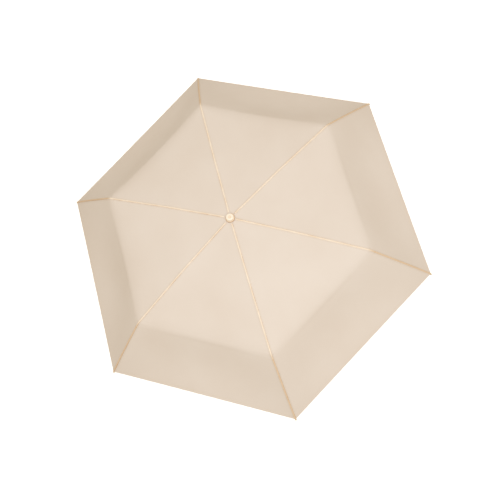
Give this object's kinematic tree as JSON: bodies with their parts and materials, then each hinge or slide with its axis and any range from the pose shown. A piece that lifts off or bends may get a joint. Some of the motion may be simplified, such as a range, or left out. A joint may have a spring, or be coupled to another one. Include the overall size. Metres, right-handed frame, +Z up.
{
  "type": "folding umbrella",
  "caption": "Open folding hand umbrella: flat-topped hexagonal cloth canopy on folding ribs, telescoping shaft, sliding runner and short round grip.",
  "frame": {"origin": "middle of the hand grip's round wall, on the shaft's centre line", "axes": "+Z up the shaft to the cap on top; +X towards rib 1; the umbrella is open and its shaft drawn out"},
  "size_m": [0.9012, 0.781, 0.4997],
  "materials": {
    "canopy_cloth": "fine plain weave with a soft coated sheen",
    "cap_plastic": "glossy moulded",
    "washer_plastic": "satin moulded",
    "fitting_plastic": "satin moulded",
    "handle_plastic": "soft-touch",
    "tube_metal": "satin anodised",
    "rib_metal": "satin, pressed from sheet",
    "rib_rod": "glass-fibre rod with moulded fittings",
    "wire_steel": "bright drawn wire"
  },
  "bodies": {
    "handle": {"handle_grip": "handle_plastic", "handle_end_cap": "handle_plastic", "lower_tube": "tube_metal"},
    "lower_detent": {"lower_detent": "wire_steel"},
    "middle_tube": {"middle_tube": "tube_metal"},
    "middle_detent": {"middle_detent": "wire_steel"},
    "upper_tube": {"upper_tube": "tube_metal", "crown": "fitting_plastic", "crown_plate": "fitting_plastic", "crown_wire": "wire_steel", "top_cap": "cap_plastic", "canopy_washer": "washer_plastic"},
    "runner": {"runner": "fitting_plastic", "runner_ring": "fitting_plastic", "runner_wire": "wire_steel", "latch_pin": "wire_steel", "latch_spring": "wire_steel"},
    "latch": {"latch_lever": "handle_plastic"},
    "inner_rib_1": {"inner_rib_1": "rib_metal", "canopy_panel_1": "canopy_cloth"},
    "middle_rib_1": {"middle_rib_1": "rib_metal"},
    "outer_rib_1": {"outer_rib_1": "rib_rod"},
    "stretcher_1": {"stretcher_1": "rib_metal"},
    "push_rod_1": {"push_rod_1": "wire_steel"},
    "control_wire_1": {"control_wire_1": "wire_steel"},
    "inner_rib_2": {"inner_rib_2": "rib_metal", "canopy_panel_2": "canopy_cloth"},
    "middle_rib_2": {"middle_rib_2": "rib_metal"},
    "outer_rib_2": {"outer_rib_2": "rib_rod"},
    "stretcher_2": {"stretcher_2": "rib_metal"},
    "push_rod_2": {"push_rod_2": "wire_steel"},
    "control_wire_2": {"control_wire_2": "wire_steel"},
    "inner_rib_3": {"inner_rib_3": "rib_metal", "canopy_panel_3": "canopy_cloth"},
    "middle_rib_3": {"middle_rib_3": "rib_metal"},
    "outer_rib_3": {"outer_rib_3": "rib_rod"},
    "stretcher_3": {"stretcher_3": "rib_metal"},
    "push_rod_3": {"push_rod_3": "wire_steel"},
    "control_wire_3": {"control_wire_3": "wire_steel"},
    "inner_rib_4": {"inner_rib_4": "rib_metal", "canopy_panel_4": "canopy_cloth"},
    "middle_rib_4": {"middle_rib_4": "rib_metal"},
    "outer_rib_4": {"outer_rib_4": "rib_rod"},
    "stretcher_4": {"stretcher_4": "rib_metal"},
    "push_rod_4": {"push_rod_4": "wire_steel"},
    "control_wire_4": {"control_wire_4": "wire_steel"},
    "inner_rib_5": {"inner_rib_5": "rib_metal", "canopy_panel_5": "canopy_cloth"},
    "middle_rib_5": {"middle_rib_5": "rib_metal"},
    "outer_rib_5": {"outer_rib_5": "rib_rod"},
    "stretcher_5": {"stretcher_5": "rib_metal"},
    "push_rod_5": {"push_rod_5": "wire_steel"},
    "control_wire_5": {"control_wire_5": "wire_steel"},
    "inner_rib_6": {"inner_rib_6": "rib_metal", "canopy_panel_6": "canopy_cloth"},
    "middle_rib_6": {"middle_rib_6": "rib_metal"},
    "outer_rib_6": {"outer_rib_6": "rib_rod"},
    "stretcher_6": {"stretcher_6": "rib_metal"},
    "push_rod_6": {"push_rod_6": "wire_steel"},
    "control_wire_6": {"control_wire_6": "wire_steel"}
  },
  "joints": [
    {"name": "middle_tube_slide", "type": "slide", "parent": "handle", "child": "middle_tube", "axis": [0, 0, -1], "range_m": [0, 0.131]},
    {"name": "upper_tube_slide", "type": "slide", "parent": "middle_tube", "child": "upper_tube", "axis": [0, 0, -1], "range_m": [0, 0.128]},
    {"name": "lower_detent_press", "type": "slide", "parent": "handle", "child": "lower_detent", "axis": [0, 1, 0], "range_m": [0, 0.0006], "stiffness_N_per_m": 400, "springref_m": -0.0005},
    {"name": "middle_detent_press", "type": "slide", "parent": "middle_tube", "child": "middle_detent", "axis": [0, 1, 0], "range_m": [0, 0.0006], "stiffness_N_per_m": 400, "springref_m": -0.0005},
    {"name": "runner_slide", "type": "slide", "parent": "upper_tube", "child": "runner", "axis": [0, 0, -1], "range_m": [0, 0.10791], "deforming": ["canopy_panel_1", "canopy_panel_2", "canopy_panel_3", "canopy_panel_4", "canopy_panel_5", "canopy_panel_6"]},
    {"name": "latch_press", "type": "hinge", "parent": "runner", "child": "latch", "pos_m": [0, -0.0067, 0.40243], "axis": [1, 0, 0], "range_deg": [0, 5], "stiffness_Nm_per_rad": 0.02, "springref_deg": -5.73},
    {"name": "inner_rib_1_fold", "type": "hinge", "parent": "upper_tube", "child": "inner_rib_1", "pos_m": [0.0086, 0, 0.46], "axis": [0, 1, 0], "range_deg": [0, 83.55]},
    {"name": "middle_rib_1_fold", "type": "hinge", "parent": "inner_rib_1", "child": "middle_rib_1", "pos_m": [0.15418, 0, 0.44877], "axis": [0, 1, 0], "range_deg": [-183.55, 0]},
    {"name": "outer_rib_1_fold", "type": "hinge", "parent": "middle_rib_1", "child": "outer_rib_1", "pos_m": [0.30733, 0, 0.41878], "axis": [0, 1, 0], "range_deg": [0, 151.15]},
    {"name": "stretcher_1_fold", "type": "hinge", "parent": "inner_rib_1", "child": "stretcher_1", "pos_m": [0.08024, 0, 0.45273], "axis": [0, 1, 0], "range_deg": [-144.27, 0]},
    {"name": "push_rod_1_fold", "type": "hinge", "parent": "stretcher_1", "child": "push_rod_1", "pos_m": [0.08176, 0, 0.44703], "axis": [0, 1, 0], "range_deg": [0, 146.83]},
    {"name": "control_wire_1_fold", "type": "hinge", "parent": "inner_rib_1", "child": "control_wire_1", "pos_m": [0.1537, 0, 0.44589], "axis": [0, 1, 0], "range_deg": [-184.25, 0]},
    {"name": "inner_rib_2_fold", "type": "hinge", "parent": "upper_tube", "child": "inner_rib_2", "pos_m": [0.0043, 0.00745, 0.46], "axis": [-0.866, 0.5, 0], "range_deg": [0, 83.55]},
    {"name": "middle_rib_2_fold", "type": "hinge", "parent": "inner_rib_2", "child": "middle_rib_2", "pos_m": [0.07709, 0.13352, 0.44877], "axis": [-0.866, 0.5, 0], "range_deg": [-183.55, 0]},
    {"name": "outer_rib_2_fold", "type": "hinge", "parent": "middle_rib_2", "child": "outer_rib_2", "pos_m": [0.15366, 0.26615, 0.41878], "axis": [-0.866, 0.5, 0], "range_deg": [0, 151.15]},
    {"name": "stretcher_2_fold", "type": "hinge", "parent": "inner_rib_2", "child": "stretcher_2", "pos_m": [0.04012, 0.06949, 0.45273], "axis": [-0.866, 0.5, 0], "range_deg": [-144.27, 0]},
    {"name": "push_rod_2_fold", "type": "hinge", "parent": "stretcher_2", "child": "push_rod_2", "pos_m": [0.04088, 0.0708, 0.44703], "axis": [-0.866, 0.5, 0], "range_deg": [0, 146.83]},
    {"name": "control_wire_2_fold", "type": "hinge", "parent": "inner_rib_2", "child": "control_wire_2", "pos_m": [0.07685, 0.1331, 0.44589], "axis": [-0.866, 0.5, 0], "range_deg": [-184.25, 0]},
    {"name": "inner_rib_3_fold", "type": "hinge", "parent": "upper_tube", "child": "inner_rib_3", "pos_m": [-0.0043, 0.00745, 0.46], "axis": [-0.866, -0.5, 0], "range_deg": [0, 83.55]},
    {"name": "middle_rib_3_fold", "type": "hinge", "parent": "inner_rib_3", "child": "middle_rib_3", "pos_m": [-0.07709, 0.13352, 0.44877], "axis": [-0.866, -0.5, 0], "range_deg": [-183.55, 0]},
    {"name": "outer_rib_3_fold", "type": "hinge", "parent": "middle_rib_3", "child": "outer_rib_3", "pos_m": [-0.15366, 0.26615, 0.41878], "axis": [-0.866, -0.5, 0], "range_deg": [0, 151.15]},
    {"name": "stretcher_3_fold", "type": "hinge", "parent": "inner_rib_3", "child": "stretcher_3", "pos_m": [-0.04012, 0.06949, 0.45273], "axis": [-0.866, -0.5, 0], "range_deg": [-144.27, 0]},
    {"name": "push_rod_3_fold", "type": "hinge", "parent": "stretcher_3", "child": "push_rod_3", "pos_m": [-0.04088, 0.0708, 0.44703], "axis": [-0.866, -0.5, 0], "range_deg": [0, 146.83]},
    {"name": "control_wire_3_fold", "type": "hinge", "parent": "inner_rib_3", "child": "control_wire_3", "pos_m": [-0.07685, 0.1331, 0.44589], "axis": [-0.866, -0.5, 0], "range_deg": [-184.25, 0]},
    {"name": "inner_rib_4_fold", "type": "hinge", "parent": "upper_tube", "child": "inner_rib_4", "pos_m": [-0.0086, 0, 0.46], "axis": [0, -1, 0], "range_deg": [0, 83.55]},
    {"name": "middle_rib_4_fold", "type": "hinge", "parent": "inner_rib_4", "child": "middle_rib_4", "pos_m": [-0.15418, 0, 0.44877], "axis": [0, -1, 0], "range_deg": [-183.55, 0]},
    {"name": "outer_rib_4_fold", "type": "hinge", "parent": "middle_rib_4", "child": "outer_rib_4", "pos_m": [-0.30733, 0, 0.41878], "axis": [0, -1, 0], "range_deg": [0, 151.15]},
    {"name": "stretcher_4_fold", "type": "hinge", "parent": "inner_rib_4", "child": "stretcher_4", "pos_m": [-0.08024, 0, 0.45273], "axis": [0, -1, 0], "range_deg": [-144.27, 0]},
    {"name": "push_rod_4_fold", "type": "hinge", "parent": "stretcher_4", "child": "push_rod_4", "pos_m": [-0.08176, 0, 0.44703], "axis": [0, -1, 0], "range_deg": [0, 146.83]},
    {"name": "control_wire_4_fold", "type": "hinge", "parent": "inner_rib_4", "child": "control_wire_4", "pos_m": [-0.1537, 0, 0.44589], "axis": [0, -1, 0], "range_deg": [-184.25, 0]},
    {"name": "inner_rib_5_fold", "type": "hinge", "parent": "upper_tube", "child": "inner_rib_5", "pos_m": [-0.0043, -0.00745, 0.46], "axis": [0.866, -0.5, 0], "range_deg": [0, 83.55]},
    {"name": "middle_rib_5_fold", "type": "hinge", "parent": "inner_rib_5", "child": "middle_rib_5", "pos_m": [-0.07709, -0.13352, 0.44877], "axis": [0.866, -0.5, 0], "range_deg": [-183.55, 0]},
    {"name": "outer_rib_5_fold", "type": "hinge", "parent": "middle_rib_5", "child": "outer_rib_5", "pos_m": [-0.15366, -0.26615, 0.41878], "axis": [0.866, -0.5, 0], "range_deg": [0, 151.15]},
    {"name": "stretcher_5_fold", "type": "hinge", "parent": "inner_rib_5", "child": "stretcher_5", "pos_m": [-0.04012, -0.06949, 0.45273], "axis": [0.866, -0.5, 0], "range_deg": [-144.27, 0]},
    {"name": "push_rod_5_fold", "type": "hinge", "parent": "stretcher_5", "child": "push_rod_5", "pos_m": [-0.04088, -0.0708, 0.44703], "axis": [0.866, -0.5, 0], "range_deg": [0, 146.83]},
    {"name": "control_wire_5_fold", "type": "hinge", "parent": "inner_rib_5", "child": "control_wire_5", "pos_m": [-0.07685, -0.1331, 0.44589], "axis": [0.866, -0.5, 0], "range_deg": [-184.25, 0]},
    {"name": "inner_rib_6_fold", "type": "hinge", "parent": "upper_tube", "child": "inner_rib_6", "pos_m": [0.0043, -0.00745, 0.46], "axis": [0.866, 0.5, 0], "range_deg": [0, 83.55]},
    {"name": "middle_rib_6_fold", "type": "hinge", "parent": "inner_rib_6", "child": "middle_rib_6", "pos_m": [0.07709, -0.13352, 0.44877], "axis": [0.866, 0.5, 0], "range_deg": [-183.55, 0]},
    {"name": "outer_rib_6_fold", "type": "hinge", "parent": "middle_rib_6", "child": "outer_rib_6", "pos_m": [0.15366, -0.26615, 0.41878], "axis": [0.866, 0.5, 0], "range_deg": [0, 151.15]},
    {"name": "stretcher_6_fold", "type": "hinge", "parent": "inner_rib_6", "child": "stretcher_6", "pos_m": [0.04012, -0.06949, 0.45273], "axis": [0.866, 0.5, 0], "range_deg": [-144.27, 0]},
    {"name": "push_rod_6_fold", "type": "hinge", "parent": "stretcher_6", "child": "push_rod_6", "pos_m": [0.04088, -0.0708, 0.44703], "axis": [0.866, 0.5, 0], "range_deg": [0, 146.83]},
    {"name": "control_wire_6_fold", "type": "hinge", "parent": "inner_rib_6", "child": "control_wire_6", "pos_m": [0.07685, -0.1331, 0.44589], "axis": [0.866, 0.5, 0], "range_deg": [-184.25, 0]}
  ],
  "couplings": [
    {"joint": "inner_rib_1_fold", "follows": "runner_slide", "rad_per_m": 13.505},
    {"joint": "middle_rib_1_fold", "follows": "runner_slide", "rad_per_m": -29.678},
    {"joint": "outer_rib_1_fold", "follows": "runner_slide", "rad_per_m": 24.438},
    {"joint": "stretcher_1_fold", "follows": "runner_slide", "rad_per_m": -23.325},
    {"joint": "push_rod_1_fold", "follows": "runner_slide", "rad_per_m": 23.739},
    {"joint": "control_wire_1_fold", "follows": "runner_slide", "rad_per_m": -29.792},
    {"joint": "inner_rib_2_fold", "follows": "runner_slide", "rad_per_m": 13.505},
    {"joint": "middle_rib_2_fold", "follows": "runner_slide", "rad_per_m": -29.678},
    {"joint": "outer_rib_2_fold", "follows": "runner_slide", "rad_per_m": 24.438},
    {"joint": "stretcher_2_fold", "follows": "runner_slide", "rad_per_m": -23.325},
    {"joint": "push_rod_2_fold", "follows": "runner_slide", "rad_per_m": 23.739},
    {"joint": "control_wire_2_fold", "follows": "runner_slide", "rad_per_m": -29.792},
    {"joint": "inner_rib_3_fold", "follows": "runner_slide", "rad_per_m": 13.505},
    {"joint": "middle_rib_3_fold", "follows": "runner_slide", "rad_per_m": -29.678},
    {"joint": "outer_rib_3_fold", "follows": "runner_slide", "rad_per_m": 24.438},
    {"joint": "stretcher_3_fold", "follows": "runner_slide", "rad_per_m": -23.325},
    {"joint": "push_rod_3_fold", "follows": "runner_slide", "rad_per_m": 23.739},
    {"joint": "control_wire_3_fold", "follows": "runner_slide", "rad_per_m": -29.792},
    {"joint": "inner_rib_4_fold", "follows": "runner_slide", "rad_per_m": 13.505},
    {"joint": "middle_rib_4_fold", "follows": "runner_slide", "rad_per_m": -29.678},
    {"joint": "outer_rib_4_fold", "follows": "runner_slide", "rad_per_m": 24.438},
    {"joint": "stretcher_4_fold", "follows": "runner_slide", "rad_per_m": -23.325},
    {"joint": "push_rod_4_fold", "follows": "runner_slide", "rad_per_m": 23.739},
    {"joint": "control_wire_4_fold", "follows": "runner_slide", "rad_per_m": -29.792},
    {"joint": "inner_rib_5_fold", "follows": "runner_slide", "rad_per_m": 13.505},
    {"joint": "middle_rib_5_fold", "follows": "runner_slide", "rad_per_m": -29.678},
    {"joint": "outer_rib_5_fold", "follows": "runner_slide", "rad_per_m": 24.438},
    {"joint": "stretcher_5_fold", "follows": "runner_slide", "rad_per_m": -23.325},
    {"joint": "push_rod_5_fold", "follows": "runner_slide", "rad_per_m": 23.739},
    {"joint": "control_wire_5_fold", "follows": "runner_slide", "rad_per_m": -29.792},
    {"joint": "inner_rib_6_fold", "follows": "runner_slide", "rad_per_m": 13.505},
    {"joint": "middle_rib_6_fold", "follows": "runner_slide", "rad_per_m": -29.678},
    {"joint": "outer_rib_6_fold", "follows": "runner_slide", "rad_per_m": 24.438},
    {"joint": "stretcher_6_fold", "follows": "runner_slide", "rad_per_m": -23.325},
    {"joint": "push_rod_6_fold", "follows": "runner_slide", "rad_per_m": 23.739},
    {"joint": "control_wire_6_fold", "follows": "runner_slide", "rad_per_m": -29.792}
  ]
}
